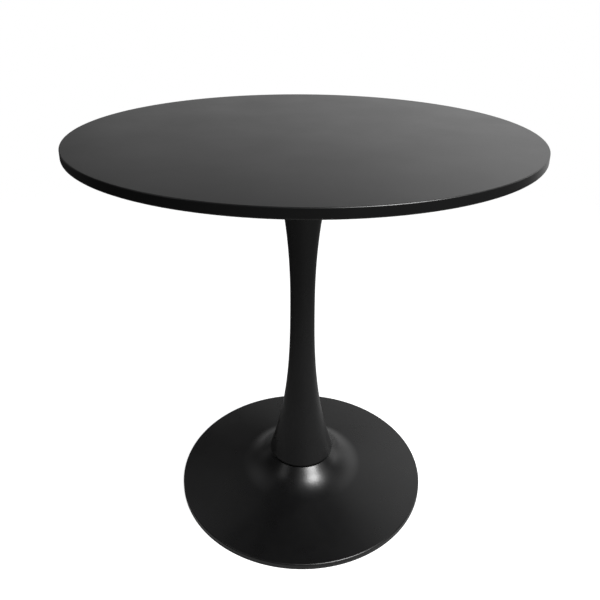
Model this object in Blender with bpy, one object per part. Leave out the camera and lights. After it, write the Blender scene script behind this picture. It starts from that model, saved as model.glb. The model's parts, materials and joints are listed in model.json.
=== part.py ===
"""Round pedestal table: a painted board on an hourglass steel column and a weighted trumpet base.

One tie rod on the axis clamps the mounting plate, the column and the base together. The board is screwed to
the plate. +Z is up, the origin is on the floor at the middle of the base, and lengths are in metres.
"""

import math

import bmesh
import bpy

# Driving dimensions
TABLE_HEIGHT = 0.740
BOARD_RADIUS = 0.400
BOARD_THICKNESS = 0.016
BASE_RADIUS = 0.250
WAIST_RADIUS = 0.0238
WAIST_HEIGHT = 0.410
GAP = 0.0003  # between pieces that touch

# Board
BOARD_TOP_ROUND = 0.0015
BOARD_BOTTOM_ROUND = 0.0030
BOARD_UNDERSIDE = TABLE_HEIGHT - BOARD_THICKNESS

# Mounting plate and the screws that hold the board to it
PLATE_RADIUS = 0.120
PLATE_THICKNESS = 0.004
PLATE_EDGE_ROUND = 0.0010
PLATE_TOP = BOARD_UNDERSIDE - GAP
PLATE_BOTTOM = PLATE_TOP - PLATE_THICKNESS
PLATE_SCREWS = 6
PLATE_SCREW_CIRCLE = 0.100
INSERT_RADIUS = 0.0047
INSERT_LENGTH = 0.010
INSERT_HOLE_DEPTH = 0.011
LOCATOR_RADIUS = 0.0565
LOCATOR_WALL = 0.003
LOCATOR_HEIGHT = 0.010

# M6 hardware
M6_SHANK = 0.0029
M6_CLEARANCE = 0.0033
M6_BORE = 0.0032
M6_HEAD_RADIUS = 0.00525
M6_HEAD_HEIGHT = 0.0033
M6_SOCKET_RADIUS = 0.0023
M6_SOCKET_DEPTH = 0.0018
M6_WASHER_RADIUS = 0.0060
M6_WASHER_THICKNESS = 0.0015
PLATE_SCREW_LENGTH = 0.015
BALLAST_SCREW_LENGTH = 0.018

# M12 hardware
M12_ROD = 0.0059
M12_BORE = 0.0062
M12_CLEARANCE = 0.0065
M12_NUT_CORNER = 0.0105
M12_NUT_HEIGHT = 0.010
ROD_TOP = PLATE_TOP - 0.0012
ROD_BOTTOM = 0.040
ROD_CHAMFER = 0.001

# Base shell: pressed sheet with a raised pilot, a seat, a flared neck, a shallow cone and a turned-down rim
SHEET = 0.002
PILOT_RADIUS = 0.054
PILOT_TOP = 0.0715
PILOT_ROUND = 0.0025
SEAT_HEIGHT = 0.0625
SEAT_RADIUS = 0.0645
SEAT_ROUND = 0.002
NECK_ANGLE = math.radians(42.0)
NECK_HOLLOW = 0.095
CONE_ANGLE = math.radians(8.0)
RIM_ROUND = 0.003
RIM_TOP = 0.011
RING_HEIGHT = 0.004

# The neck slopes straight down from the seat's edge, and a hollow round carries it into the cone
NECK_TOP_RADIUS = SEAT_RADIUS - SEAT_ROUND * (1.0 - math.sin(NECK_ANGLE))
NECK_TOP = SEAT_HEIGHT - SEAT_ROUND * (1.0 - math.cos(NECK_ANGLE))
NECK_SLOPE = math.tan(NECK_ANGLE)
CONE_SLOPE = math.tan(CONE_ANGLE)
CONE_PEAK = RIM_TOP + (BASE_RADIUS - RIM_ROUND) * CONE_SLOPE
NECK_MEETS_CONE = (NECK_TOP + NECK_SLOPE * NECK_TOP_RADIUS - CONE_PEAK) / (NECK_SLOPE - CONE_SLOPE)
HOLLOW_END = NECK_MEETS_CONE + NECK_HOLLOW * math.tan((NECK_ANGLE - CONE_ANGLE) / 2) * math.cos(CONE_ANGLE)
HOLLOW_CENTER_RADIUS = HOLLOW_END + NECK_HOLLOW * math.sin(CONE_ANGLE)
HOLLOW_CENTER_HEIGHT = CONE_PEAK - HOLLOW_END * CONE_SLOPE + NECK_HOLLOW * math.cos(CONE_ANGLE)

# Column: one spun tube, thinnest at the waist
COLUMN_WALL = 0.0018
COLUMN_TOP = PLATE_BOTTOM - GAP
COLUMN_TOP_RADIUS = 0.062
COLUMN_TOP_POWER = 2.15
COLUMN_TOP_LIP = 0.002
COLUMN_FOOT_RADIUS = 0.066
COLUMN_FOOT_POWER = 2.7
COLUMN_FOOT_ROUND = 0.003
COLUMN_FLANGE_RADIUS = 0.0546
GASKET_THICKNESS = 0.0015
GASKET_INNER = 0.0551
GASKET_OUTER = 0.0615
COLUMN_BOTTOM = SEAT_HEIGHT + GASKET_THICKNESS + 2 * GAP

# Clamp stack under the crown
CROWN_PLATE_RADIUS = 0.050
CROWN_PLATE_THICKNESS = 0.005
CLAMP_WASHER_RADIUS = 0.018
CLAMP_WASHER_THICKNESS = 0.003
LOCK_WASHER_RADIUS = 0.0105
LOCK_WASHER_THICKNESS = 0.0025
LOCK_WASHER_SLIT = 0.0022

# Ballast
BALLAST_OUTER = 0.165
BALLAST_INNER = 0.055
BALLAST_THICKNESS = 0.010
BALLAST_BOTTOM = 0.008
BALLAST_EDGE = 0.001
BALLAST_SCREWS = 4
BALLAST_SCREW_CIRCLE = 0.120
STANDOFF_RADIUS = 0.007

# Floor ring
RING_INNER = 0.2437
RING_WALL_OUTER = 0.2476
RING_WALL_TOP = 0.0075
RING_EDGE = 0.0006

# Facets round the axis
BOARD_STEPS = 96
BASE_STEPS = 48
COLUMN_STEPS = 36
PLATE_STEPS = 48
WASHER_STEPS = 24
HOLE_STEPS = 16
SMALL_STEPS = 12


def clear_scene():
    for obj in list(bpy.data.objects):
        bpy.data.objects.remove(obj, do_unlink=True)


def material(name, color, roughness, metallic=0.0):
    made = bpy.data.materials.new(name)
    made.use_nodes = True
    shader = made.node_tree.nodes["Principled BSDF"]
    shader.inputs["Base Color"].default_value = (*color, 1.0)
    shader.inputs["Roughness"].default_value = roughness
    shader.inputs["Metallic"].default_value = metallic
    return made


def arc(center_r, center_z, radius, start, end, count):
    """Points of a round corner in an outline; angles are in degrees, 0 pointing away from the axis."""
    points = []
    for i in range(count + 1):
        angle = math.radians(start + (end - start) * i / count)
        points.append((center_r + radius * math.cos(angle), center_z + radius * math.sin(angle)))
    return points


def spun_mesh(name, outline, steps, closed):
    """A surface of revolution about Z from (radius, height) points. It is welded where it meets the axis."""
    bm = bmesh.new()
    verts = [bm.verts.new((r, 0.0, z)) for r, z in outline]
    edges = [bm.edges.new(pair) for pair in zip(verts, verts[1:])]
    if closed:
        edges.append(bm.edges.new((verts[-1], verts[0])))
    bmesh.ops.spin(
        bm,
        geom=verts + edges,
        cent=(0, 0, 0),
        axis=(0, 0, 1),
        angle=math.tau,
        steps=steps,
        use_merge=True,
    )
    bmesh.ops.remove_doubles(bm, verts=bm.verts, dist=1e-6)
    bmesh.ops.recalc_face_normals(bm, faces=bm.faces)
    mesh = bpy.data.meshes.new(name)
    bm.to_mesh(mesh)
    bm.free()
    return mesh


def add(name, mesh, finish, location=(0, 0, 0), turn=0.0):
    obj = bpy.data.objects.new(name, mesh)
    bpy.context.scene.collection.objects.link(obj)
    obj.location = location
    obj.rotation_euler = (0, 0, turn)
    if not mesh.materials:
        mesh.materials.append(finish)
    mesh.shade_smooth()
    mesh.set_sharp_from_angle(angle=math.radians(35))
    return obj


def turned(name, outline, steps, finish, location=(0, 0, 0)):
    """A solid whose outline starts and ends on the axis, or a ring whose outline stays clear of it."""
    touches_axis = outline[0][0] == 0.0
    return add(name, spun_mesh(name, outline, steps, not touches_axis), finish, location)


def sheet_turned(name, outline, steps, thickness, finish):
    """A spun sheet: the outline is its outer face, from top to bottom, and the thickness goes inwards."""
    mesh = spun_mesh(name, outline, steps, False)
    middle = mesh.polygons[len(mesh.polygons) // 2]
    if middle.normal.dot((middle.center.x, middle.center.y, 0.01)) < 0:
        mesh.flip_normals()
    obj = add(name, mesh, finish)
    wall = obj.modifiers.new("wall", "SOLIDIFY")
    wall.thickness = thickness
    wall.offset = -1.0
    wall.use_even_offset = True


def ring_outline(inner, outer, low, high, edge=0.0):
    """The section of a flat ring, its outer corners chamfered by edge."""
    if edge == 0.0:
        return [(inner, low), (outer, low), (outer, high), (inner, high)]
    return [
        (inner, low),
        (outer - edge, low),
        (outer, low + edge),
        (outer, high - edge),
        (outer - edge, high),
        (inner, high),
    ]


def cutter(name, mesh, location=(0, 0, 0), turn=0.0):
    obj = bpy.data.objects.new(name, mesh)
    bpy.context.scene.collection.objects.link(obj)
    obj.location = location
    obj.rotation_euler = (0, 0, turn)
    obj.hide_render = True
    obj.display_type = "WIRE"
    return obj


def cylinders_mesh(name, centers, radius, low, high, steps):
    """Upright cylinders or, with six steps, hexagonal prisms, as one cutter."""
    bm = bmesh.new()
    for x, y in centers:
        made = bmesh.ops.create_cone(
            bm, cap_ends=True, segments=steps, radius1=radius, radius2=radius, depth=high - low
        )
        bmesh.ops.translate(bm, verts=made["verts"], vec=(x, y, (low + high) / 2))
    mesh = bpy.data.meshes.new(name)
    bm.to_mesh(mesh)
    bm.free()
    return mesh


def cut(obj, tool):
    boolean = obj.modifiers.new("cut_" + tool.name, "BOOLEAN")
    boolean.operation = "DIFFERENCE"
    boolean.solver = "EXACT"
    boolean.object = tool


def settled_mesh(obj, *helpers):
    """The object's mesh with its modifiers applied, for copies to share. The object and its cutters go."""
    graph = bpy.context.evaluated_depsgraph_get()
    mesh = bpy.data.meshes.new_from_object(obj.evaluated_get(graph))
    for used in (obj, *helpers):
        bpy.data.objects.remove(used, do_unlink=True)
    return mesh


def circle_points(count, radius, start=0.0):
    return [
        (radius * math.cos(start + math.tau * i / count), radius * math.sin(start + math.tau * i / count))
        for i in range(count)
    ]


def column_radius(z):
    """Outer radius of the column: it grows by a power of the distance from the waist."""
    if z > WAIST_HEIGHT:
        share = (z - WAIST_HEIGHT) / (COLUMN_TOP - COLUMN_TOP_LIP - WAIST_HEIGHT)
        return WAIST_RADIUS + (COLUMN_TOP_RADIUS - WAIST_RADIUS) * share**COLUMN_TOP_POWER
    share = (WAIST_HEIGHT - z) / (WAIST_HEIGHT - COLUMN_BOTTOM)
    return WAIST_RADIUS + (COLUMN_FOOT_RADIUS - WAIST_RADIUS) * share**COLUMN_FOOT_POWER


def base_height(r):
    """Outer face of the base outside the straight neck: the hollow round, then the cone."""
    if r >= HOLLOW_END:
        return CONE_PEAK - r * CONE_SLOPE
    return HOLLOW_CENTER_HEIGHT - math.sqrt(NECK_HOLLOW**2 - (HOLLOW_CENTER_RADIUS - r) ** 2)


def make_board(finish):
    outline = [(0.0, BOARD_UNDERSIDE)]
    outline += arc(
        BOARD_RADIUS - BOARD_BOTTOM_ROUND, BOARD_UNDERSIDE + BOARD_BOTTOM_ROUND, BOARD_BOTTOM_ROUND, -90, 0, 3
    )
    outline += arc(BOARD_RADIUS - BOARD_TOP_ROUND, TABLE_HEIGHT - BOARD_TOP_ROUND, BOARD_TOP_ROUND, 0, 90, 2)
    outline.append((0.0, TABLE_HEIGHT))
    board = turned("tabletop", outline, BOARD_STEPS, finish)
    holes = cylinders_mesh(
        "insert_holes",
        circle_points(PLATE_SCREWS, PLATE_SCREW_CIRCLE),
        INSERT_RADIUS + GAP,
        BOARD_UNDERSIDE - 0.005,
        BOARD_UNDERSIDE + INSERT_HOLE_DEPTH,
        HOLE_STEPS,
    )
    cut(board, cutter("insert_holes", holes))


def make_plate(finish):
    edge = PLATE_EDGE_ROUND
    outline = ring_outline(M12_CLEARANCE, PLATE_RADIUS, PLATE_BOTTOM, PLATE_TOP, edge)
    plate = turned("mounting_plate", outline, PLATE_STEPS, finish)
    holes = cylinders_mesh(
        "plate_holes",
        circle_points(PLATE_SCREWS, PLATE_SCREW_CIRCLE),
        M6_CLEARANCE,
        PLATE_BOTTOM - 0.005,
        PLATE_TOP + 0.005,
        HOLE_STEPS,
    )
    cut(plate, cutter("plate_holes", holes))
    locator = ring_outline(
        LOCATOR_RADIUS - LOCATOR_WALL, LOCATOR_RADIUS, COLUMN_TOP - LOCATOR_HEIGHT, COLUMN_TOP
    )
    turned("column_locator_ring", locator, COLUMN_STEPS, finish)


def nut_mesh(name):
    """A hexagonal nut with both ends chamfered, from z 0 up to its height."""
    bm = bmesh.new()
    made = bmesh.ops.create_cone(
        bm,
        cap_ends=True,
        segments=6,
        radius1=M12_NUT_CORNER,
        radius2=M12_NUT_CORNER,
        depth=M12_NUT_HEIGHT,
    )
    bmesh.ops.translate(bm, verts=made["verts"], vec=(0, 0, M12_NUT_HEIGHT / 2))
    prism = bpy.data.meshes.new(name)
    bm.to_mesh(prism)
    bm.free()
    nut = bpy.data.objects.new(name, prism)
    bpy.context.scene.collection.objects.link(nut)
    bore = cylinders_mesh("nut_bore", [(0, 0)], M12_BORE, -0.005, M12_NUT_HEIGHT + 0.005, HOLE_STEPS)
    bore_tool = cutter("nut_bore", bore)
    cut(nut, bore_tool)
    rounding = nut.modifiers.new("corners", "BOOLEAN")
    rounding.operation = "INTERSECT"
    rounding.solver = "EXACT"
    chamfer = 0.0012
    flat = M12_NUT_CORNER * math.cos(math.radians(30))
    bell = [
        (0.0, -0.001),
        (flat - 0.0006, -0.001),
        (M12_NUT_CORNER + 0.0008, chamfer),
        (M12_NUT_CORNER + 0.0008, M12_NUT_HEIGHT - chamfer),
        (flat - 0.0006, M12_NUT_HEIGHT + 0.001),
        (0.0, M12_NUT_HEIGHT + 0.001),
    ]
    bell_tool = cutter("nut_bell", spun_mesh("nut_bell", bell, HOLE_STEPS, False))
    rounding.object = bell_tool
    return settled_mesh(nut, bore_tool, bell_tool)


def screw_mesh(name, length, finish):
    """A button-head socket screw: z 0 is under the head, the shank goes up and the head down."""
    dome = [
        (M6_HEAD_RADIUS * 0.62, -M6_HEAD_HEIGHT),
        (M6_HEAD_RADIUS * 0.86, -M6_HEAD_HEIGHT * 0.72),
        (M6_HEAD_RADIUS, -M6_HEAD_HEIGHT * 0.22),
        (M6_HEAD_RADIUS, 0.0),
    ]
    tip = 0.0008
    outline = [(0.0, -M6_HEAD_HEIGHT), *dome, (M6_SHANK, 0.0), (M6_SHANK, length - tip)]
    outline += [(M6_SHANK - tip, length), (0.0, length)]
    screw = turned(name, outline, SMALL_STEPS, finish)
    socket = cylinders_mesh(
        "socket",
        [(0, 0)],
        M6_SOCKET_RADIUS,
        -M6_HEAD_HEIGHT - 0.002,
        -M6_HEAD_HEIGHT + M6_SOCKET_DEPTH,
        6,
    )
    tool = cutter("socket", socket)
    cut(screw, tool)
    return settled_mesh(screw, tool)


def make_board_fixings(steel, dark):
    """Threaded inserts in the board, and the screws and washers that come up through the plate."""
    insert = spun_mesh(
        "insert", ring_outline(M6_BORE, INSERT_RADIUS, 0.0, INSERT_LENGTH), SMALL_STEPS, True
    )
    washer = spun_mesh(
        "plate_washer", ring_outline(M6_BORE, M6_WASHER_RADIUS, -M6_WASHER_THICKNESS, 0.0), SMALL_STEPS, True
    )
    screw = screw_mesh("plate_screw", PLATE_SCREW_LENGTH, dark)
    washer_top = PLATE_BOTTOM - GAP
    head_seat = washer_top - M6_WASHER_THICKNESS - GAP
    for i, (x, y) in enumerate(circle_points(PLATE_SCREWS, PLATE_SCREW_CIRCLE), 1):
        add(f"threaded_insert_{i}", insert, steel, (x, y, BOARD_UNDERSIDE + GAP))
        add(f"plate_washer_{i}", washer, dark, (x, y, washer_top))
        add(f"plate_screw_{i}", screw, dark, (x, y, head_seat))


def make_column(finish):
    outline = [(COLUMN_TOP_RADIUS, COLUMN_TOP)]
    rings_above = 9
    rings_below = 10
    lip_bottom = COLUMN_TOP - COLUMN_TOP_LIP
    for i in range(rings_above):
        z = lip_bottom + (WAIST_HEIGHT - lip_bottom) * i / rings_above
        outline.append((column_radius(z), z))
    foot_top = COLUMN_BOTTOM + COLUMN_FOOT_ROUND
    for i in range(rings_below):
        z = WAIST_HEIGHT + (foot_top - WAIST_HEIGHT) * i / rings_below
        outline.append((column_radius(z), z))
    foot_r = column_radius(foot_top)
    outline += arc(foot_r - COLUMN_FOOT_ROUND, foot_top, COLUMN_FOOT_ROUND, 0, -90, 2)
    outline.append((COLUMN_FLANGE_RADIUS, COLUMN_BOTTOM))
    sheet_turned("column", outline, COLUMN_STEPS, COLUMN_WALL, finish)


def make_base_shell(finish):
    outline = [(M12_CLEARANCE, PILOT_TOP)]
    outline += arc(PILOT_RADIUS - PILOT_ROUND, PILOT_TOP - PILOT_ROUND, PILOT_ROUND, 90, 0, 2)
    outline += [(PILOT_RADIUS, SEAT_HEIGHT)]
    steep = math.degrees(NECK_ANGLE)
    shallow = math.degrees(CONE_ANGLE)
    outline += arc(SEAT_RADIUS - SEAT_ROUND, SEAT_HEIGHT - SEAT_ROUND, SEAT_ROUND, 90, 90 - steep, 2)
    outline += arc(HOLLOW_CENTER_RADIUS, HOLLOW_CENTER_HEIGHT, NECK_HOLLOW, 270 - steep, 270 - shallow, 6)
    outline += arc(BASE_RADIUS - RIM_ROUND, RIM_TOP - RIM_ROUND, RIM_ROUND, 90 - shallow, 0, 3)
    outline.append((BASE_RADIUS, RING_HEIGHT + GAP))
    sheet_turned("base_shell", outline, BASE_STEPS, SHEET, finish)


def make_joint_gasket(finish):
    low = SEAT_HEIGHT + GAP
    outline = ring_outline(GASKET_INNER, GASKET_OUTER, low, low + GASKET_THICKNESS)
    mesh = spun_mesh("column_gasket", outline, COLUMN_STEPS, True)
    half_facet = math.pi / COLUMN_STEPS
    add("column_gasket", mesh, finish, turn=half_facet)


def make_clamp(steel, plated):
    """Everything that the tie rod pulls together on the axis."""
    crown_top = PILOT_TOP - SHEET - GAP
    crown_bottom = crown_top - CROWN_PLATE_THICKNESS
    turned(
        "crown_plate",
        ring_outline(M12_CLEARANCE, CROWN_PLATE_RADIUS, crown_bottom, crown_top),
        COLUMN_STEPS,
        steel,
    )
    washer_top = crown_bottom - GAP
    washer_bottom = washer_top - CLAMP_WASHER_THICKNESS
    turned(
        "clamp_washer",
        ring_outline(M12_BORE, CLAMP_WASHER_RADIUS, washer_bottom, washer_top),
        WASHER_STEPS,
        plated,
    )
    lock_top = washer_bottom - GAP
    lock_bottom = lock_top - LOCK_WASHER_THICKNESS
    lock = turned(
        "lock_washer",
        ring_outline(M12_BORE, LOCK_WASHER_RADIUS, lock_bottom, lock_top),
        WASHER_STEPS,
        plated,
    )
    bm = bmesh.new()
    made = bmesh.ops.create_cube(bm, size=1.0)
    bmesh.ops.scale(bm, vec=(0.012, LOCK_WASHER_SLIT, 0.008), verts=made["verts"])
    bmesh.ops.translate(bm, vec=(0.009, 0.0, 0.0), verts=made["verts"])
    slit = bpy.data.meshes.new("lock_slit")
    bm.to_mesh(slit)
    bm.free()
    slit_tool = cutter("lock_slit", slit, (0, 0, (lock_top + lock_bottom) / 2), math.radians(-60))
    slit_tool.rotation_euler[0] = math.radians(20)
    cut(lock, slit_tool)
    nut = nut_mesh("nut")
    nut_top = lock_bottom - GAP
    add("clamp_nut", nut, plated, (0, 0, nut_top - M12_NUT_HEIGHT), math.radians(12))
    add("plate_weld_nut", nut, plated, (0, 0, COLUMN_TOP - M12_NUT_HEIGHT))
    rod = [
        (0.0, ROD_BOTTOM),
        (M12_ROD - ROD_CHAMFER, ROD_BOTTOM),
        (M12_ROD, ROD_BOTTOM + ROD_CHAMFER),
        (M12_ROD, ROD_TOP - ROD_CHAMFER),
        (M12_ROD - ROD_CHAMFER, ROD_TOP),
        (0.0, ROD_TOP),
    ]
    turned("tie_rod", rod, HOLE_STEPS, plated)


def standoff_mesh(name, low):
    """A threaded boss whose upper end follows the underside of the cone above it, at the +X position."""
    underside_drop = SHEET / math.cos(math.atan(CONE_SLOPE)) + GAP
    bm = bmesh.new()
    loops = []
    for radius in (M6_BORE, STANDOFF_RADIUS):
        for level in ("low", "high"):
            ring = []
            for x, y in circle_points(SMALL_STEPS, radius):
                cone_r = math.hypot(BALLAST_SCREW_CIRCLE + x, y)
                z = low if level == "low" else base_height(cone_r) - underside_drop
                ring.append(bm.verts.new((x, y, z)))
            edges = [bm.edges.new((ring[i - 1], ring[i])) for i in range(SMALL_STEPS)]
            loops.append(edges)
    inner_low, inner_high, outer_low, outer_high = loops
    for pair in ((inner_low, outer_low), (inner_high, outer_high), (inner_low, inner_high)):
        bmesh.ops.bridge_loops(bm, edges=pair[0] + pair[1])
    bmesh.ops.bridge_loops(bm, edges=outer_low + outer_high)
    bmesh.ops.recalc_face_normals(bm, faces=bm.faces)
    mesh = bpy.data.meshes.new(name)
    bm.to_mesh(mesh)
    bm.free()
    return mesh


def make_ballast(iron, steel, dark):
    top = BALLAST_BOTTOM + BALLAST_THICKNESS
    outline = ring_outline(BALLAST_INNER, BALLAST_OUTER, BALLAST_BOTTOM, top, BALLAST_EDGE)
    ballast = turned("ballast_ring", outline, PLATE_STEPS, iron)
    centers = circle_points(BALLAST_SCREWS, BALLAST_SCREW_CIRCLE, math.radians(45))
    holes = cylinders_mesh(
        "ballast_holes", centers, M6_CLEARANCE, BALLAST_BOTTOM - 0.005, top + 0.005, HOLE_STEPS
    )
    cut(ballast, cutter("ballast_holes", holes))
    standoff = standoff_mesh("standoff", top + GAP)
    washer = spun_mesh(
        "ballast_washer",
        ring_outline(M6_BORE, M6_WASHER_RADIUS, -M6_WASHER_THICKNESS, 0.0),
        SMALL_STEPS,
        True,
    )
    screw = screw_mesh("ballast_screw", BALLAST_SCREW_LENGTH, dark)
    washer_top = BALLAST_BOTTOM - GAP
    head_seat = washer_top - M6_WASHER_THICKNESS - GAP
    for i, (x, y) in enumerate(centers, 1):
        add(f"ballast_standoff_{i}", standoff, steel, (x, y, 0), math.atan2(y, x))
        add(f"ballast_washer_{i}", washer, dark, (x, y, washer_top))
        add(f"ballast_screw_{i}", screw, dark, (x, y, head_seat))


def make_floor_ring(finish):
    """The rubber ring under the rim: a flat tread with a wall that clips inside the rim."""
    outline = [
        (RING_INNER, 0.0),
        (BASE_RADIUS - RING_EDGE, 0.0),
        (BASE_RADIUS, RING_EDGE),
        (BASE_RADIUS, RING_HEIGHT),
        (RING_WALL_OUTER, RING_HEIGHT),
        (RING_WALL_OUTER, RING_WALL_TOP),
        (RING_INNER, RING_WALL_TOP),
    ]
    turned("floor_ring", outline, BASE_STEPS, finish)


def main():
    clear_scene()
    paint = material("satin_black_paint", (0.012, 0.012, 0.012), 0.38)
    powder = material("black_powder_coat", (0.013, 0.013, 0.014), 0.42)
    rubber = material("black_rubber", (0.018, 0.018, 0.018), 0.75)
    plated = material("zinc_plated_steel", (0.62, 0.62, 0.60), 0.32, 1.0)
    dark = material("black_oxide_steel", (0.035, 0.035, 0.037), 0.40, 1.0)
    steel = material("plain_steel", (0.30, 0.30, 0.30), 0.45, 1.0)
    iron = material("painted_iron", (0.045, 0.045, 0.048), 0.60)
    make_board(paint)
    make_plate(powder)
    make_board_fixings(plated, dark)
    make_column(powder)
    make_joint_gasket(rubber)
    make_base_shell(powder)
    make_clamp(steel, plated)
    make_ballast(iron, steel, dark)
    make_floor_ring(rubber)


main()
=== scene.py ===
"""Round pedestal table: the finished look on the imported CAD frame.

Every turned piece is spun from an outline worked out from the CAD box of the node it stands for. Lengths
are in metres, +Z is up, and the origin is on the floor at the middle of the base.
"""

import json
import math

import bmesh
import bpy
from mathutils import Matrix, Vector

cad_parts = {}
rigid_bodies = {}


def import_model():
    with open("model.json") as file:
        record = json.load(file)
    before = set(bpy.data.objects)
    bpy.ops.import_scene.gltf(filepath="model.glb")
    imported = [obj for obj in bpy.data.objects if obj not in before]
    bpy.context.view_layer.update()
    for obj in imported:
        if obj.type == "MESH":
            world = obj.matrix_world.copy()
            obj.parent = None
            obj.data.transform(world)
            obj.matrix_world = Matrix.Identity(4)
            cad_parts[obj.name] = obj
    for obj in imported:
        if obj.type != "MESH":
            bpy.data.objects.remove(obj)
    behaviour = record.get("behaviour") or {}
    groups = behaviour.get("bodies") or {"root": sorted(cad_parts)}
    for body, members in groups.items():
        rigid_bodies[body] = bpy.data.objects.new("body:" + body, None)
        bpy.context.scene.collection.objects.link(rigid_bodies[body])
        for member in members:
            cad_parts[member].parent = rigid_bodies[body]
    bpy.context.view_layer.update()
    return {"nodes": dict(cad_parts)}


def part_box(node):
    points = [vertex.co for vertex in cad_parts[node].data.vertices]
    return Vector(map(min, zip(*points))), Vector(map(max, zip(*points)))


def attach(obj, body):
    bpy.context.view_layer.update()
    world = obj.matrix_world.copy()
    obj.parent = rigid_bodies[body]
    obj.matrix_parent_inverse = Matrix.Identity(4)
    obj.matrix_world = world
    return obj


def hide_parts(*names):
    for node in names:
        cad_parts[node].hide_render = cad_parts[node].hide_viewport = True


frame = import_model()

# Places that the CAD frame gives
BOARD_LOW, BOARD_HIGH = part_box("tabletop")
PLATE_LOW, PLATE_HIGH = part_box("mounting_plate")
COLUMN_LOW, COLUMN_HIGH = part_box("column")
GASKET_LOW, GASKET_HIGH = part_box("column_gasket")
SHELL_LOW, SHELL_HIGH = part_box("base_shell")
RING_LOW, RING_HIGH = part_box("floor_ring")
BALLAST_LOW, BALLAST_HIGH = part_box("ballast_ring")
CROWN_LOW, CROWN_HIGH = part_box("crown_plate")
WASHER_LOW, WASHER_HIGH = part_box("clamp_washer")
ROD_LOW, ROD_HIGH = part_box("tie_rod")
NUT_LOW, NUT_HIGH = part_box("clamp_nut")

GAP = 0.0003  # between pieces that touch
HOLD = 0.0003  # facet kept beside each round
REACH_PAST = 0.005  # how far a cutter reaches past a face

# Board
BOARD_TOP_ROUND = 0.0015
BOARD_BOTTOM_ROUND = 0.0030

# Mounting plate and M6 hardware
PLATE_ROUND = 0.0010
ROD_CLEARANCE = 0.0065
SCREW_CLEARANCE = 0.0033
SCREW_CIRCLE = 0.100
INSERT_HOLE = 0.0050
INSERT_DEPTH = 0.011
SCREW_SHANK = 0.0029
SCREW_BORE = 0.0032
SCREW_TIP = 0.0008
SCREW_HEAD = 0.00525
SCREW_HEAD_HEIGHT = 0.0033
SCREW_HEAD_FLAT = 0.52  # share of the head's radius
SCREW_HEAD_RIM = 0.16  # share of the head's height
SCREW_HEAD_BEVEL = 0.0001
SOCKET_RADIUS = 0.0023
SOCKET_DEPTH = 0.0018
PLATE_SCREW_LENGTH = 0.015
BALLAST_SCREW_LENGTH = 0.018
WASHER_RADIUS = 0.0060
WASHER_THICKNESS = 0.0015
WASHER_ROUND = 0.0003

# Column: one spun tube, thinnest at the waist
WAIST_RADIUS = 0.0238
WAIST_HEIGHT = 0.410
COLUMN_MOUTH = 0.062
COLUMN_MOUTH_LIP = 0.002
COLUMN_MOUTH_POWER = 2.15
COLUMN_FOOT = 0.066
COLUMN_FOOT_POWER = 2.7
COLUMN_FOOT_ROUND = 0.003
COLUMN_FLANGE = 0.0546
COLUMN_WALL = 0.0018

# Base shell: pilot, seat, flared neck, shallow cone and turned-down rim
SHEET = 0.002
PILOT_RADIUS = 0.054
PILOT_ROUND = 0.0025
SEAT_HEIGHT = GASKET_LOW[2] - GAP
SEAT_RADIUS = 0.0645
SEAT_ROUND = 0.002
NECK_ANGLE = math.radians(42.0)
NECK_HOLLOW = 0.095
CONE_ANGLE = math.radians(8.0)
RIM_ROUND = 0.003
RIM_TOP = 0.011

# Rubber rings in the joint and under the rim
GASKET_WIDTH = 0.0064
RING_INNER = 0.2437
RING_WALL_OUTER = 0.2476
RING_TREAD = 0.004
RING_ROUND = 0.0006

# The neck slopes straight down from the seat's edge, and a hollow round carries it into the cone
NECK_TOP_RADIUS = SEAT_RADIUS - SEAT_ROUND * (1.0 - math.sin(NECK_ANGLE))
NECK_TOP = SEAT_HEIGHT - SEAT_ROUND * (1.0 - math.cos(NECK_ANGLE))
NECK_SLOPE = math.tan(NECK_ANGLE)
CONE_SLOPE = math.tan(CONE_ANGLE)
CONE_PEAK = RIM_TOP + (SHELL_HIGH[0] - RIM_ROUND) * CONE_SLOPE
NECK_MEETS_CONE = (NECK_TOP + NECK_SLOPE * NECK_TOP_RADIUS - CONE_PEAK) / (NECK_SLOPE - CONE_SLOPE)
HOLLOW_END = NECK_MEETS_CONE + NECK_HOLLOW * math.tan((NECK_ANGLE - CONE_ANGLE) / 2) * math.cos(CONE_ANGLE)
HOLLOW_CENTER_RADIUS = HOLLOW_END + NECK_HOLLOW * math.sin(CONE_ANGLE)
HOLLOW_CENTER_HEIGHT = CONE_PEAK - HOLLOW_END * CONE_SLOPE + NECK_HOLLOW * math.cos(CONE_ANGLE)

# Clamp, ballast and its bosses
ROD_PITCH = 0.00175
THREAD_DEPTH = 0.0009
THREAD_LENGTH = 0.034
ROD_CHAMFER = 0.0012
ROD_BORE = 0.0062
CROWN_ROUND = 0.0006
HEAVY_WASHER_ROUND = 0.0005
NUT_CORNER = 0.0105
NUT_BEVEL = 0.0012
NUT_FACE = 0.0006  # from the flats to the round face
NUT_TURN = math.radians(12)
BALLAST_HOLE = 0.055
BALLAST_ROUND = 0.0015
BALLAST_CIRCLE = 0.120
BALLAST_START = math.radians(45)
BOSS_RADIUS = 0.007

# Facets round the axis
BOARD_STEPS = 256
BASE_STEPS = 192
COLUMN_STEPS = 128
PLATE_STEPS = 128
HARDWARE_STEPS = 48
WASHER_STEPS = 64
INSERT_STEPS = 24
HOLE_STEPS = 32
ROD_STEPS = 32
ROD_RINGS_PER_TURN = 8
BOSS_STEPS = 32


# ---------------------------------------------------------------- geometry


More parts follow.
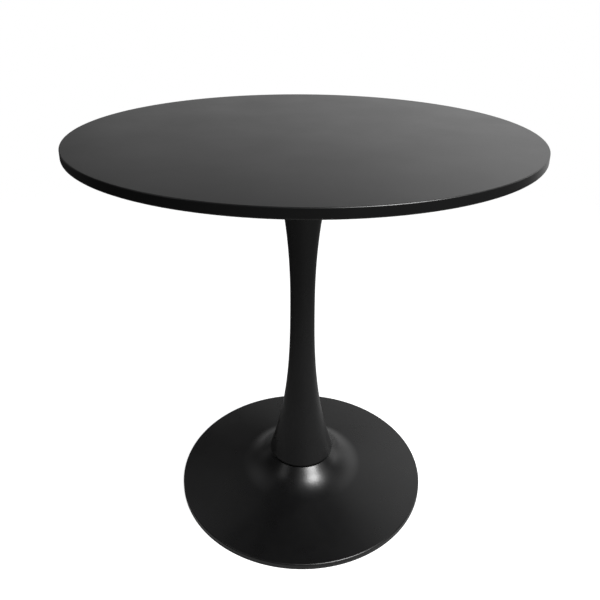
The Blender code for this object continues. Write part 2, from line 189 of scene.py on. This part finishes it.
def arc(center_r, center_z, radius, start, end, count):
    """Points of a round corner in an outline; angles are in degrees, 0 pointing away from the axis.

    A point HOLD before it and one HOLD after it, in line with the faces beside it, keep those faces flat.
    """
    angles = [math.radians(start + (end - start) * i / count) for i in range(count + 1)]
    points = [(center_r + radius * math.cos(a), center_z + radius * math.sin(a)) for a in angles]
    hold = math.copysign(HOLD, end - start)
    r, z = points[0]
    points.insert(0, (r + hold * math.sin(angles[0]), z - hold * math.cos(angles[0])))
    r, z = points[-1]
    points.append((r - hold * math.sin(angles[-1]), z + hold * math.cos(angles[-1])))
    return points


def inner_face(outline, thickness):
    """The other face of a sheet whose outer face is the outline; it runs the opposite way."""
    moved = []
    for i, (r, z) in enumerate(outline):
        before = outline[max(i - 1, 0)]
        after = outline[min(i + 1, len(outline) - 1)]
        along = Vector((after[0] - before[0], after[1] - before[1])).normalized()
        moved.append((r + thickness * along.y, z - thickness * along.x))
    return moved[::-1]


def rounded_ring(inner, outer, low, high, radius, count=4):
    """The section of a flat ring whose outer corners are rounded."""
    outline = [(inner, low)]
    outline += arc(outer - radius, low + radius, radius, -90, 0, count)
    outline += arc(outer - radius, high - radius, radius, 0, 90, count)
    outline.append((inner, high))
    return outline


def smooth(mesh, degrees=35):
    mesh.shade_smooth()
    mesh.set_sharp_from_angle(angle=math.radians(degrees))


def spun_mesh(name, outline, steps):
    """A solid of revolution about Z: closed on the axis where the outline meets it, otherwise a ring."""
    bm = bmesh.new()
    verts = [bm.verts.new((r, 0.0, z)) for r, z in outline]
    edges = [bm.edges.new(pair) for pair in zip(verts, verts[1:])]
    if outline[0][0] > 0.0:
        edges.append(bm.edges.new((verts[-1], verts[0])))
    bmesh.ops.spin(
        bm,
        geom=verts + edges,
        cent=(0, 0, 0),
        axis=(0, 0, 1),
        angle=math.tau,
        steps=steps,
        use_merge=True,
    )
    bmesh.ops.remove_doubles(bm, verts=bm.verts, dist=1e-6)
    bmesh.ops.recalc_face_normals(bm, faces=bm.faces)
    mesh = bpy.data.meshes.new(name)
    bm.to_mesh(mesh)
    bm.free()
    smooth(mesh)
    return mesh


def prism_mesh(name, centers, radius, low, high, steps):
    """Upright prisms in one mesh, used as cutters."""
    bm = bmesh.new()
    for x, y in centers:
        made = bmesh.ops.create_cone(
            bm, cap_ends=True, segments=steps, radius1=radius, radius2=radius, depth=high - low
        )
        bmesh.ops.translate(bm, verts=made["verts"], vec=(x, y, (low + high) / 2))
    mesh = bpy.data.meshes.new(name)
    bm.to_mesh(mesh)
    bm.free()
    return mesh


def combined(mesh, tool, operation="DIFFERENCE"):
    """The mesh cut by, or kept inside, the tool."""
    scene = bpy.context.scene.collection.objects
    body = bpy.data.objects.new("body", mesh)
    cutter = bpy.data.objects.new("cutter", tool)
    scene.link(body)
    scene.link(cutter)
    boolean = body.modifiers.new("boolean", "BOOLEAN")
    boolean.operation = operation
    boolean.solver = "EXACT"
    boolean.object = cutter
    graph = bpy.context.evaluated_depsgraph_get()
    result = bpy.data.meshes.new_from_object(body.evaluated_get(graph))
    result.name = mesh.name
    for used in (body, cutter):
        bpy.data.objects.remove(used, do_unlink=True)
    for used in (mesh, tool):
        bpy.data.meshes.remove(used)
    smooth(result)
    return result


def circle_points(count, radius, start=0.0):
    return [
        (radius * math.cos(start + math.tau * i / count), radius * math.sin(start + math.tau * i / count))
        for i in range(count)
    ]


def place(name, mesh, finish, node, location=(0, 0, 0), turn=0.0):
    """A finished piece that stands for one CAD node."""
    piece = bpy.data.objects.new(name, mesh)
    bpy.context.scene.collection.objects.link(piece)
    piece.location = location
    piece.rotation_euler = (0, 0, turn)
    if not mesh.materials:
        mesh.materials.append(finish["material"])
    bpy.context.view_layer.update()
    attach(piece, "root")
    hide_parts(node)
    return piece


def column_radius(z):
    """Outer radius of the column: it grows by a power of the distance from the waist."""
    if z > WAIST_HEIGHT:
        share = (z - WAIST_HEIGHT) / (COLUMN_HIGH[2] - COLUMN_MOUTH_LIP - WAIST_HEIGHT)
        return WAIST_RADIUS + (COLUMN_MOUTH - WAIST_RADIUS) * share**COLUMN_MOUTH_POWER
    share = (WAIST_HEIGHT - z) / (WAIST_HEIGHT - COLUMN_LOW[2])
    return WAIST_RADIUS + (COLUMN_FOOT - WAIST_RADIUS) * share**COLUMN_FOOT_POWER


def base_height(r):
    """Outer face of the base outside the straight neck: the hollow round, then the cone."""
    if r >= HOLLOW_END:
        return CONE_PEAK - r * CONE_SLOPE
    return HOLLOW_CENTER_HEIGHT - math.sqrt(NECK_HOLLOW**2 - (HOLLOW_CENTER_RADIUS - r) ** 2)


def make_board(finish):
    radius = BOARD_HIGH[0]
    low = BOARD_LOW[2]
    high = BOARD_HIGH[2]
    outline = [(0.0, low)]
    outline += arc(radius - BOARD_BOTTOM_ROUND, low + BOARD_BOTTOM_ROUND, BOARD_BOTTOM_ROUND, -90, 0, 8)
    outline += arc(radius - BOARD_TOP_ROUND, high - BOARD_TOP_ROUND, BOARD_TOP_ROUND, 0, 90, 6)
    outline.append((0.0, high))
    centers = circle_points(6, SCREW_CIRCLE)
    holes = prism_mesh(
        "insert_holes", centers, INSERT_HOLE, low - REACH_PAST, low + INSERT_DEPTH, INSERT_STEPS
    )
    board = combined(spun_mesh("table_board", outline, BOARD_STEPS), holes)
    place("table_board", board, finish, "tabletop")


def make_mounting_plate(finish):
    low = PLATE_LOW[2]
    high = PLATE_HIGH[2]
    plate = spun_mesh(
        "mounting_disc", rounded_ring(ROD_CLEARANCE, PLATE_HIGH[0], low, high, PLATE_ROUND), PLATE_STEPS
    )
    centers = circle_points(6, SCREW_CIRCLE)
    holes = prism_mesh(
        "plate_holes", centers, SCREW_CLEARANCE, low - REACH_PAST, high + REACH_PAST, HOLE_STEPS
    )
    place("mounting_disc", combined(plate, holes), finish, "mounting_plate")


def make_column(finish):
    top = COLUMN_HIGH[2]
    bottom = COLUMN_LOW[2]
    outer = [(COLUMN_MOUTH, top)]
    lip_bottom = top - COLUMN_MOUTH_LIP
    rings = 40
    for i in range(rings):
        z = lip_bottom + (WAIST_HEIGHT - lip_bottom) * i / rings
        outer.append((column_radius(z), z))
    lean = math.atan(COLUMN_FOOT_POWER * (COLUMN_FOOT - WAIST_RADIUS) / (WAIST_HEIGHT - bottom))
    foot_top = bottom + COLUMN_FOOT_ROUND * (1.0 + math.sin(lean))
    for i in range(rings):
        z = WAIST_HEIGHT + (foot_top - WAIST_HEIGHT) * i / rings
        outer.append((column_radius(z), z))
    foot_center = column_radius(foot_top) - COLUMN_FOOT_ROUND * math.cos(lean)
    outer += arc(foot_center, bottom + COLUMN_FOOT_ROUND, COLUMN_FOOT_ROUND, math.degrees(lean), -90, 10)
    outer.append((COLUMN_FLANGE, bottom))
    outline = outer + inner_face(outer, COLUMN_WALL)
    place("hourglass_column", spun_mesh("hourglass_column", outline, COLUMN_STEPS), finish, "column")


def make_base(finish):
    rim = SHELL_HIGH[0]
    pilot_top = SHELL_HIGH[2]
    outer = [(ROD_CLEARANCE, pilot_top)]
    outer += arc(PILOT_RADIUS - PILOT_ROUND, pilot_top - PILOT_ROUND, PILOT_ROUND, 90, 0, 6)
    outer.append((PILOT_RADIUS, SEAT_HEIGHT))
    steep = math.degrees(NECK_ANGLE)
    shallow = math.degrees(CONE_ANGLE)
    outer += arc(SEAT_RADIUS - SEAT_ROUND, SEAT_HEIGHT - SEAT_ROUND, SEAT_ROUND, 90, 90 - steep, 5)
    outer += arc(HOLLOW_CENTER_RADIUS, HOLLOW_CENTER_HEIGHT, NECK_HOLLOW, 270 - steep, 270 - shallow, 24)
    outer += arc(rim - RIM_ROUND, RIM_TOP - RIM_ROUND, RIM_ROUND, 90 - shallow, 0, 10)
    outer.append((rim, SHELL_LOW[2]))
    outline = outer + inner_face(outer, SHEET)
    place("trumpet_base", spun_mesh("trumpet_base", outline, BASE_STEPS), finish, "base_shell")


def make_rubber_rings(finish):
    low = GASKET_LOW[2]
    high = GASKET_HIGH[2]
    swell = (high - low) / 2
    outline = [(GASKET_HIGH[0] - GASKET_WIDTH, low)]
    outline += arc(GASKET_HIGH[0] - swell, low + swell, swell, -90, 90, 8)
    outline.append((GASKET_HIGH[0] - GASKET_WIDTH, high))
    place("joint_gasket", spun_mesh("joint_gasket", outline, COLUMN_STEPS), finish, "column_gasket")
    outline = [(RING_INNER, RING_LOW[2])]
    outline += arc(RING_HIGH[0] - RING_ROUND, RING_LOW[2] + RING_ROUND, RING_ROUND, -90, 0, 4)
    outline += [(RING_HIGH[0], RING_TREAD), (RING_WALL_OUTER, RING_TREAD)]
    outline += arc(RING_WALL_OUTER - RING_ROUND, RING_HIGH[2] - RING_ROUND, RING_ROUND, 0, 90, 4)
    outline.append((RING_INNER, RING_HIGH[2]))
    place("rim_ring", spun_mesh("rim_ring", outline, BASE_STEPS), finish, "floor_ring")


def screw_mesh(name, length):
    """A button-head socket screw: z 0 is under the head, the shank goes up and the head down."""
    outline = [(0.0, -SCREW_HEAD_HEIGHT)]
    flat = SCREW_HEAD * SCREW_HEAD_FLAT
    for i in range(9):
        angle = math.radians(90 * i / 8)
        r = flat + (SCREW_HEAD - flat) * math.sin(angle)
        z = -SCREW_HEAD_HEIGHT * (SCREW_HEAD_RIM + (1.0 - SCREW_HEAD_RIM) * math.cos(angle))
        outline.append((r, z))
    outline += [(SCREW_HEAD, -SCREW_HEAD_BEVEL), (SCREW_HEAD - SCREW_HEAD_BEVEL, 0.0), (SCREW_SHANK, 0.0)]
    outline += [(SCREW_SHANK, length - SCREW_TIP), (SCREW_SHANK - SCREW_TIP, length), (0.0, length)]
    socket_end = SOCKET_DEPTH - SCREW_HEAD_HEIGHT
    socket = prism_mesh(
        "socket", [(0, 0)], SOCKET_RADIUS, -SCREW_HEAD_HEIGHT - REACH_PAST, socket_end, 6
    )
    return combined(spun_mesh(name, outline, HARDWARE_STEPS), socket)


def make_screws(finish, kind, count, circle, start, head_seat, length):
    """Screws with their washers on one circle; head_seat is the height of the washer's lower face."""
    screw = screw_mesh(kind + "_screw", length)
    section = rounded_ring(SCREW_BORE, WASHER_RADIUS, 0.0, WASHER_THICKNESS, WASHER_ROUND)
    washer = spun_mesh(kind + "_washer", section, HARDWARE_STEPS)
    for i, (x, y) in enumerate(circle_points(count, circle, start), 1):
        place(f"button_{kind}_screw_{i}", screw, finish, f"{kind}_screw_{i}", (x, y, head_seat - GAP))
        place(f"plain_{kind}_washer_{i}", washer, finish, f"{kind}_washer_{i}", (x, y, head_seat))


def make_rod(finish):
    """The tie rod, with its thread cut at both ends."""
    low = ROD_LOW[2]
    high = ROD_HIGH[2]
    radius = ROD_HIGH[0]
    step = ROD_PITCH / ROD_RINGS_PER_TURN
    count = round(THREAD_LENGTH / step)
    heights = [low + step * i for i in range(count + 1)]
    heights += [high - step * (count - i) for i in range(count + 1)]
    bm = bmesh.new()
    rings = []
    for z in heights:
        end = min(z - low, high - z)
        chamfer = max(0.0, ROD_CHAMFER - end)
        ring = []
        for k in range(ROD_STEPS):
            turn = (z / ROD_PITCH - k / ROD_STEPS) % 1.0
            crest = abs(2.0 * turn - 1.0)
            r = min(radius - THREAD_DEPTH * (1.0 - crest), radius - chamfer)
            angle = math.tau * k / ROD_STEPS
            ring.append(bm.verts.new((r * math.cos(angle), r * math.sin(angle), z)))
        rings.append(ring)
    for lower, upper in zip(rings, rings[1:]):
        for k in range(ROD_STEPS):
            bm.faces.new((lower[k - 1], lower[k], upper[k], upper[k - 1]))
    bm.faces.new(rings[0][::-1])
    bm.faces.new(rings[-1])
    bmesh.ops.recalc_face_normals(bm, faces=bm.faces)
    mesh = bpy.data.meshes.new("threaded_rod")
    bm.to_mesh(mesh)
    bm.free()
    smooth(mesh, 50)
    place("threaded_rod", mesh, finish, "tie_rod")


def make_clamp(plated, steel):
    crown = rounded_ring(ROD_CLEARANCE, CROWN_HIGH[0], CROWN_LOW[2], CROWN_HIGH[2], CROWN_ROUND)
    place("crown_disc", spun_mesh("crown_disc", crown, PLATE_STEPS), steel, "crown_plate")
    washer = rounded_ring(ROD_BORE, WASHER_HIGH[0], WASHER_LOW[2], WASHER_HIGH[2], HEAVY_WASHER_ROUND)
    place("heavy_washer", spun_mesh("heavy_washer", washer, WASHER_STEPS), plated, "clamp_washer")
    height = NUT_HIGH[2] - NUT_LOW[2]
    prism = prism_mesh("hex_nut", [(0, 0)], NUT_CORNER, 0.0, height, 6)
    bore = prism_mesh("nut_bore", [(0, 0)], ROD_BORE, -REACH_PAST, height + REACH_PAST, HARDWARE_STEPS)
    flat = NUT_CORNER * math.cos(math.radians(30))
    face = flat - NUT_FACE
    reach = NUT_CORNER + 0.0008
    past = 0.001
    bell = [(0.0, -past), (face, -past), (reach, NUT_BEVEL)]
    bell += [(reach, height - NUT_BEVEL), (face, height + past), (0.0, height + past)]
    nut = combined(combined(prism, bore), spun_mesh("nut_bell", bell, HARDWARE_STEPS), "INTERSECT")
    place("hex_nut", nut, plated, "clamp_nut", (0, 0, NUT_LOW[2]), NUT_TURN)


def make_ballast(iron, steel):
    low = BALLAST_LOW[2]
    high = BALLAST_HIGH[2]
    centers = circle_points(4, BALLAST_CIRCLE, BALLAST_START)
    section = rounded_ring(BALLAST_HOLE, BALLAST_HIGH[0], low, high, BALLAST_ROUND)
    ring = spun_mesh("ballast_casting", section, PLATE_STEPS)
    holes = prism_mesh(
        "ballast_holes", centers, SCREW_CLEARANCE, low - REACH_PAST, high + REACH_PAST, HOLE_STEPS
    )
    place("ballast_casting", combined(ring, holes), iron, "ballast_ring")
    boss = boss_mesh("threaded_boss", high + GAP)
    for i, (x, y) in enumerate(centers, 1):
        place(f"threaded_boss_{i}", boss, steel, f"ballast_standoff_{i}", (x, y, 0), math.atan2(y, x))


def boss_mesh(name, low):
    """A boss whose upper end follows the underside of the cone above it, at the +X position."""
    drop = SHEET / math.cos(CONE_ANGLE) + GAP
    bm = bmesh.new()
    loops = []
    for radius in (SCREW_BORE, BOSS_RADIUS):
        for end in ("low", "high"):
            ring = []
            for x, y in circle_points(BOSS_STEPS, radius):
                z = low if end == "low" else base_height(math.hypot(BALLAST_CIRCLE + x, y)) - drop
                ring.append(bm.verts.new((x, y, z)))
            loops.append([bm.edges.new((ring[i - 1], ring[i])) for i in range(BOSS_STEPS)])
    inner_low, inner_high, outer_low, outer_high = loops
    for one, other in (
        (inner_low, outer_low),
        (inner_high, outer_high),
        (inner_low, inner_high),
        (outer_low, outer_high),
    ):
        bmesh.ops.bridge_loops(bm, edges=one + other)
    bmesh.ops.recalc_face_normals(bm, faces=bm.faces)
    mesh = bpy.data.meshes.new(name)
    bm.to_mesh(mesh)
    bm.free()
    smooth(mesh)
    return mesh


# ---------------------------------------------------------------- materials


class Finish:
    """Builds one node material on a Principled shader."""

    def __init__(self, name, metallic=0.0, ior=1.5):
        self.material = bpy.data.materials.new(name)
        self.material.use_nodes = True
        tree = self.material.node_tree
        self.nodes = tree.nodes
        self.links = tree.links
        self.shader = self.nodes["Principled BSDF"]
        self.shader.inputs["Metallic"].default_value = metallic
        self.shader.inputs["IOR"].default_value = ior
        self.place = self.nodes.new("ShaderNodeTexCoord").outputs["Object"]
        self.normal = None

    def stretched(self, scale):
        """Object coordinates stretched before they reach a texture."""
        mapping = self.nodes.new("ShaderNodeMapping")
        mapping.inputs["Scale"].default_value = scale
        self.links.new(self.place, mapping.inputs["Vector"])
        return mapping.outputs["Vector"]

    def noise(self, size, detail=3.0, rough=0.5, vector=None):
        """Noise with features about as wide as size, in metres."""
        node = self.nodes.new("ShaderNodeTexNoise")
        node.inputs["Scale"].default_value = 1.0 / size
        node.inputs["Detail"].default_value = detail
        node.inputs["Roughness"].default_value = rough
        self.links.new(vector or self.place, node.inputs["Vector"])
        return node.outputs["Fac"]

    def cells(self, size):
        node = self.nodes.new("ShaderNodeTexVoronoi")
        node.inputs["Scale"].default_value = 1.0 / size
        self.links.new(self.place, node.inputs["Vector"])
        return node.outputs["Distance"]

    def spread(self, source, low, high, start=0.3, end=0.7):
        """A texture value carried from the range start..end to low..high."""
        node = self.nodes.new("ShaderNodeMapRange")
        node.inputs["From Min"].default_value = start
        node.inputs["From Max"].default_value = end
        node.inputs["To Min"].default_value = low
        node.inputs["To Max"].default_value = high
        self.links.new(source, node.inputs["Value"])
        return node.outputs["Result"]

    def color(self, source, dark, light, start=0.3, end=0.7):
        ramp = self.nodes.new("ShaderNodeValToRGB")
        first, last = ramp.color_ramp.elements
        first.position = start
        first.color = (*dark, 1.0)
        last.position = end
        last.color = (*light, 1.0)
        self.links.new(source, ramp.inputs["Fac"])
        self.links.new(ramp.outputs["Color"], self.shader.inputs["Base Color"])

    def roughness(self, source, low, high):
        self.links.new(self.spread(source, low, high), self.shader.inputs["Roughness"])

    def bump(self, source, height):
        """Adds a layer of relief; height is its depth in metres."""
        node = self.nodes.new("ShaderNodeBump")
        node.inputs["Distance"].default_value = height
        node.inputs["Strength"].default_value = 1.0
        self.links.new(source, node.inputs["Height"])
        if self.normal:
            self.links.new(self.normal, node.inputs["Normal"])
        self.normal = node.outputs["Normal"]
        self.links.new(self.normal, self.shader.inputs["Normal"])


def board_paint():
    """Satin black paint, rolled and sanded on fibreboard: very fine stipple, faint clouds in the sheen."""
    made = Finish("satin_black_board_paint")
    clouds = made.noise(0.16, 4.0, 0.55)
    made.color(clouds, (0.0034, 0.0034, 0.0035), (0.0050, 0.0050, 0.0051))
    made.roughness(made.noise(0.11, 5.0, 0.6), 0.305, 0.335)
    made.bump(made.noise(0.0016, 2.0, 0.5), 0.000007)
    made.bump(made.noise(0.030, 2.0, 0.5), 0.00002)
    return {"material": made.material, "slot": "board_paint"}


def powder_coat():
    """Black powder coat: orange peel a couple of millimetres wide over slow waves of the spun sheet."""
    made = Finish("satin_black_powder_coat")
    made.color(made.noise(0.08, 4.0, 0.6), (0.0034, 0.0034, 0.0036), (0.0052, 0.0052, 0.0054))
    made.roughness(made.noise(0.045, 5.0, 0.6), 0.26, 0.32)
    made.bump(made.noise(0.0022, 2.0, 0.5), 0.000010)
    made.bump(made.cells(0.0011), 0.000003)
    made.bump(made.noise(0.05, 1.0, 0.5), 0.00005)
    return {"material": made.material, "slot": "powder_coat"}


def black_rubber():
    made = Finish("matt_black_rubber")
    made.color(made.noise(0.02, 5.0, 0.65), (0.014, 0.014, 0.014), (0.028, 0.028, 0.028))
    made.roughness(made.noise(0.008, 5.0, 0.6), 0.66, 0.84)
    made.bump(made.noise(0.0006, 3.0, 0.6), 0.00004)
    return {"material": made.material, "slot": "rubber"}


def zinc_plating():
    """Zinc on drawn steel: blotches in tint and sheen over fine drawing lines."""
    made = Finish("zinc_plated_steel", metallic=1.0)
    made.color(made.noise(0.006, 5.0, 0.65), (0.46, 0.47, 0.48), (0.66, 0.65, 0.60))
    made.roughness(made.noise(0.003, 5.0, 0.6), 0.24, 0.42)
    lines = made.noise(0.0006, 2.0, 0.5, made.stretched((1.0, 1.0, 0.08)))
    made.bump(lines, 0.00001)
    return {"material": made.material, "slot": "plated_steel"}


def black_oxide():
    made = Finish("black_oxide_steel", metallic=1.0)
    made.color(made.noise(0.002, 5.0, 0.65), (0.022, 0.022, 0.024), (0.055, 0.053, 0.050))
    made.roughness(made.noise(0.0015, 4.0, 0.6), 0.32, 0.50)
    made.bump(made.noise(0.0004, 2.0, 0.5), 0.000008)
    return {"material": made.material, "slot": "black_oxide"}


def plain_steel():
    """Cut and turned steel plate: dull patches, mill scale and a fine grain."""
    made = Finish("plain_mild_steel", metallic=1.0)
    made.color(made.noise(0.012, 6.0, 0.7), (0.16, 0.16, 0.165), (0.36, 0.35, 0.34))
    made.roughness(made.noise(0.006, 6.0, 0.65), 0.36, 0.58)
    made.bump(made.noise(0.0009, 4.0, 0.6), 0.00003)
    return {"material": made.material, "slot": "plain_steel"}


def cast_iron():
    """Primed casting: sand texture and shallow pits."""
    made = Finish("primed_cast_iron")
    made.color(made.noise(0.018, 6.0, 0.7), (0.026, 0.026, 0.028), (0.062, 0.060, 0.058))
    made.roughness(made.noise(0.01, 5.0, 0.6), 0.55, 0.74)
    made.bump(made.noise(0.0028, 5.0, 0.65), 0.00022)
    made.bump(made.cells(0.005), 0.00010)
    return {"material": made.material, "slot": "ballast_iron"}


# ---------------------------------------------------------------- studio

# Camera, in front of the table and a little above the board
CAMERA_DISTANCE = 1.0681
CAMERA_HEIGHT = 0.9730
CAMERA_TILT = 21.64
CAMERA_TURN = 0.390
CAMERA_ROLL = 0.374
CAMERA_LENS = 37.41
CAMERA_SHIFT = (0.0013, -0.1104)

# Azimuths run clockwise seen from above: 0 is behind the table and 90 is to its right.
# Soft lights. name: azimuth, elevation, distance, width of the disc, watts
LIGHTS = {
    "window_front_right": (138, 52, 2.2, 0.90, 53.0),
    "window_front_left": (-120, 44, 2.2, 0.60, 1.2),
}
LIGHT_AIM = Vector((0.0, 0.0, 0.1))

# The room that the table reflects: an even level and soft glows on it.
# name: azimuth, elevation, sharpness, strength
ROOM_LIGHT = 0.03
ROOM_GLOWS = {
    "back_wall_far_left": (-18, 7, 55, 0.36),
    "back_wall_left": (-6, 7, 55, 0.35),
    "back_wall_right": (6, 8, 50, 0.52),
    "back_wall_far_right": (18, 8, 50, 0.60),
    "back_wall_upper_right": (32, 26, 35, 1.08),
    "corner_left": (-50, 8, 50, 0.20),
    "corner_right": (48, 8, 50, 0.63),
    "side_wall_right": (68, 8, 50, 2.13),
    "skirting_right": (38, -12, 35, 0.60),
    "skirting_back_right": (24, -6, 80, 0.48),
    "ceiling_left": (-50, 48, 25, 0.45),
    "ceiling_right": (40, 48, 25, 0.83),
    "front_wall_right": (135, 35, 12, 1.95),
}

# Floor: a pale disc that fades out; the duller floor that the table reflects has light painted into its
# colour, paler round the base
FLOOR_DROP = 0.0004
FLOOR_RADII = (0.3, 0.9, 1.6, 2.6)
FLOOR_STEPS = 96
FLOOR_TONE = 0.50
FLOOR_LIFT = 0.90
FLOOR_FADE = (0.75, 2.4)
PAINTED_LIGHT_POOL_EDGE = (0.32, 0.62)
PAINTED_LIGHT_POOL_TONES = (0.36, 0.16)


def make_camera():
    camera = bpy.data.objects.new("camera", bpy.data.cameras.new("camera"))
    bpy.context.scene.collection.objects.link(camera)
    camera.data.lens = CAMERA_LENS
    camera.data.sensor_width = 36.0
    camera.data.shift_x, camera.data.shift_y = CAMERA_SHIFT
    camera.data.clip_end = 100.0
    place_at = Matrix.Translation((0.0, -CAMERA_DISTANCE, CAMERA_HEIGHT))
    turn = Matrix.Rotation(math.radians(CAMERA_TURN), 4, "Z")
    tilt = Matrix.Rotation(math.radians(90.0 - CAMERA_TILT), 4, "X")
    roll = Matrix.Rotation(math.radians(CAMERA_ROLL), 4, "Z")
    camera.matrix_world = place_at @ turn @ tilt @ roll
    bpy.context.scene.camera = camera


def eased(nodes, links, source, span, values):
    """A value that passes smoothly between two values while the source crosses the span."""
    node = nodes.new("ShaderNodeMapRange")
    node.interpolation_type = "SMOOTHSTEP"
    node.inputs["From Min"].default_value, node.inputs["From Max"].default_value = span
    node.inputs["To Min"].default_value, node.inputs["To Max"].default_value = values
    links.new(source, node.inputs["Value"])
    return node.outputs["Result"]


def make_floor():
    """A pale sweep that fades into the background; the table reflects a duller one, with light painted into
    its colour as a paler patch round the base.
    """
    bm = bmesh.new()
    rings = [bmesh.ops.create_circle(bm, segments=FLOOR_STEPS, radius=r)["verts"] for r in FLOOR_RADII]
    for inner, outer in zip(rings, rings[1:]):
        for k in range(FLOOR_STEPS):
            bm.faces.new((inner[k - 1], outer[k - 1], outer[k], inner[k]))
    bm.faces.new(rings[0])
    bmesh.ops.recalc_face_normals(bm, faces=bm.faces)
    mesh = bpy.data.meshes.new("studio_floor")
    bm.to_mesh(mesh)
    bm.free()
    floor = bpy.data.objects.new("studio_floor", mesh)
    bpy.context.scene.collection.objects.link(floor)
    floor.location.z = -FLOOR_DROP
    material = bpy.data.materials.new("pale_floor")
    material.use_nodes = True
    nodes = material.node_tree.nodes
    links = material.node_tree.links
    shader = nodes["Principled BSDF"]
    shader.inputs["Base Color"].default_value = (FLOOR_TONE, FLOOR_TONE, FLOOR_TONE, 1.0)
    shader.inputs["Roughness"].default_value = 0.9
    shader.inputs["Specular IOR Level"].default_value = 0.0
    shader.inputs["Emission Color"].default_value = (1.0, 1.0, 1.0, 1.0)
    shader.inputs["Emission Strength"].default_value = FLOOR_LIFT
    coordinates = nodes.new("ShaderNodeTexCoord")
    distance = nodes.new("ShaderNodeVectorMath")
    distance.operation = "LENGTH"
    links.new(coordinates.outputs["Object"], distance.inputs[0])
    fade = eased(nodes, links, distance.outputs["Value"], FLOOR_FADE, (0.0, 1.0))
    clear = nodes.new("ShaderNodeBsdfTransparent")
    mix = nodes.new("ShaderNodeMixShader")
    links.new(fade, mix.inputs["Fac"])
    links.new(mix.outputs["Shader"], nodes["Material Output"].inputs["Surface"])
    # Painted light: the reflected floor's colour is paler near the base and darker further out, standing in
    # for light falling round the table
    painted_light_pool = eased(nodes, links, distance.outputs["Value"], PAINTED_LIGHT_POOL_EDGE, PAINTED_LIGHT_POOL_TONES)
    dull = nodes.new("ShaderNodeBsdfDiffuse")
    links.new(painted_light_pool, dull.inputs["Color"])
    path = nodes.new("ShaderNodeLightPath")
    seen = nodes.new("ShaderNodeMixShader")
    links.new(path.outputs["Is Camera Ray"], seen.inputs["Fac"])
    links.new(dull.outputs["BSDF"], seen.inputs[1])
    links.new(shader.outputs["BSDF"], seen.inputs[2])
    links.new(seen.outputs["Shader"], mix.inputs[1])
    links.new(clear.outputs["BSDF"], mix.inputs[2])
    mesh.materials.append(material)


def direction(azimuth, elevation):
    """Unit vector from the table towards a place in the room."""
    around = math.radians(azimuth)
    up = math.radians(elevation)
    return Vector((math.cos(up) * math.sin(around), math.cos(up) * math.cos(around), math.sin(up)))


def make_lights():
    for name, (azimuth, elevation, distance, width, watts) in LIGHTS.items():
        data = bpy.data.lights.new(name, "AREA")
        data.shape = "DISK"
        data.size = width
        data.energy = watts
        light = bpy.data.objects.new(name, data)
        bpy.context.scene.collection.objects.link(light)
        towards = direction(azimuth, elevation)
        light.location = LIGHT_AIM + distance * towards
        light.rotation_euler = (-towards).to_track_quat("-Z", "Y").to_euler()
        light.visible_camera = False


def room_strength(nodes, links):
    """Brightness of the room in each direction: an even level and the glows added to it."""
    coordinates = nodes.new("ShaderNodeTexCoord")
    total = None
    for azimuth, elevation, sharpness, strength in ROOM_GLOWS.values():
        facing = nodes.new("ShaderNodeVectorMath")
        facing.operation = "DOT_PRODUCT"
        facing.inputs[1].default_value = direction(azimuth, elevation)
        links.new(coordinates.outputs["Generated"], facing.inputs[0])
        ahead = nodes.new("ShaderNodeMath")
        ahead.operation = "MAXIMUM"
        ahead.inputs[1].default_value = 0.0
        links.new(facing.outputs["Value"], ahead.inputs[0])
        falloff = nodes.new("ShaderNodeMath")
        falloff.operation = "POWER"
        falloff.inputs[1].default_value = sharpness
        links.new(ahead.outputs["Value"], falloff.inputs[0])
        added = nodes.new("ShaderNodeMath")
        added.operation = "MULTIPLY_ADD"
        added.inputs[1].default_value = strength
        links.new(falloff.outputs["Value"], added.inputs[0])
        if total:
            links.new(total, added.inputs[2])
        else:
            added.inputs[2].default_value = ROOM_LIGHT
        total = added.outputs["Value"]
    return total


def make_world():
    """A white background for the camera and a dimmer room for everything that the table reflects."""
    world = bpy.data.worlds.new("studio")
    bpy.context.scene.world = world
    world.use_nodes = True
    nodes = world.node_tree.nodes
    links = world.node_tree.links
    room = nodes["Background"]
    room.inputs["Color"].default_value = (1.0, 1.0, 1.0, 1.0)
    links.new(room_strength(nodes, links), room.inputs["Strength"])
    white = nodes.new("ShaderNodeBackground")
    white.inputs["Color"].default_value = (1.0, 1.0, 1.0, 1.0)
    white.inputs["Strength"].default_value = 1.0
    path = nodes.new("ShaderNodeLightPath")
    mix = nodes.new("ShaderNodeMixShader")
    links.new(path.outputs["Is Camera Ray"], mix.inputs["Fac"])
    links.new(room.outputs["Background"], mix.inputs[1])
    links.new(white.outputs["Background"], mix.inputs[2])
    links.new(mix.outputs["Shader"], nodes["World Output"].inputs["Surface"])
    bpy.context.scene.view_settings.view_transform = "Standard"


# ---------------------------------------------------------------- assembly

paint = board_paint()
powder = powder_coat()
rubber = black_rubber()
zinc = zinc_plating()
oxide = black_oxide()
steel = plain_steel()
iron = cast_iron()

make_board(paint)
make_mounting_plate(powder)
make_column(powder)
make_base(powder)
make_rubber_rings(rubber)
plate_seat = PLATE_LOW[2] - GAP - WASHER_THICKNESS
ballast_seat = BALLAST_LOW[2] - GAP - WASHER_THICKNESS
make_screws(oxide, "plate", 6, SCREW_CIRCLE, 0.0, plate_seat, PLATE_SCREW_LENGTH)
make_screws(oxide, "ballast", 4, BALLAST_CIRCLE, BALLAST_START, ballast_seat, BALLAST_SCREW_LENGTH)
make_rod(zinc)
make_clamp(zinc, steel)
make_ballast(iron, steel)

# CAD nodes that are shown as they are, with a finish of their own
SHOWN_NODES = {"column_locator_ring": powder, "plate_weld_nut": zinc, "lock_washer": zinc}
SHOWN_NODES.update({f"threaded_insert_{i}": zinc for i in range(1, 7)})
for node, finish in SHOWN_NODES.items():
    for slot in frame["nodes"][node].material_slots:
        slot.material = finish["material"]

make_camera()
make_floor()
make_lights()
make_world()
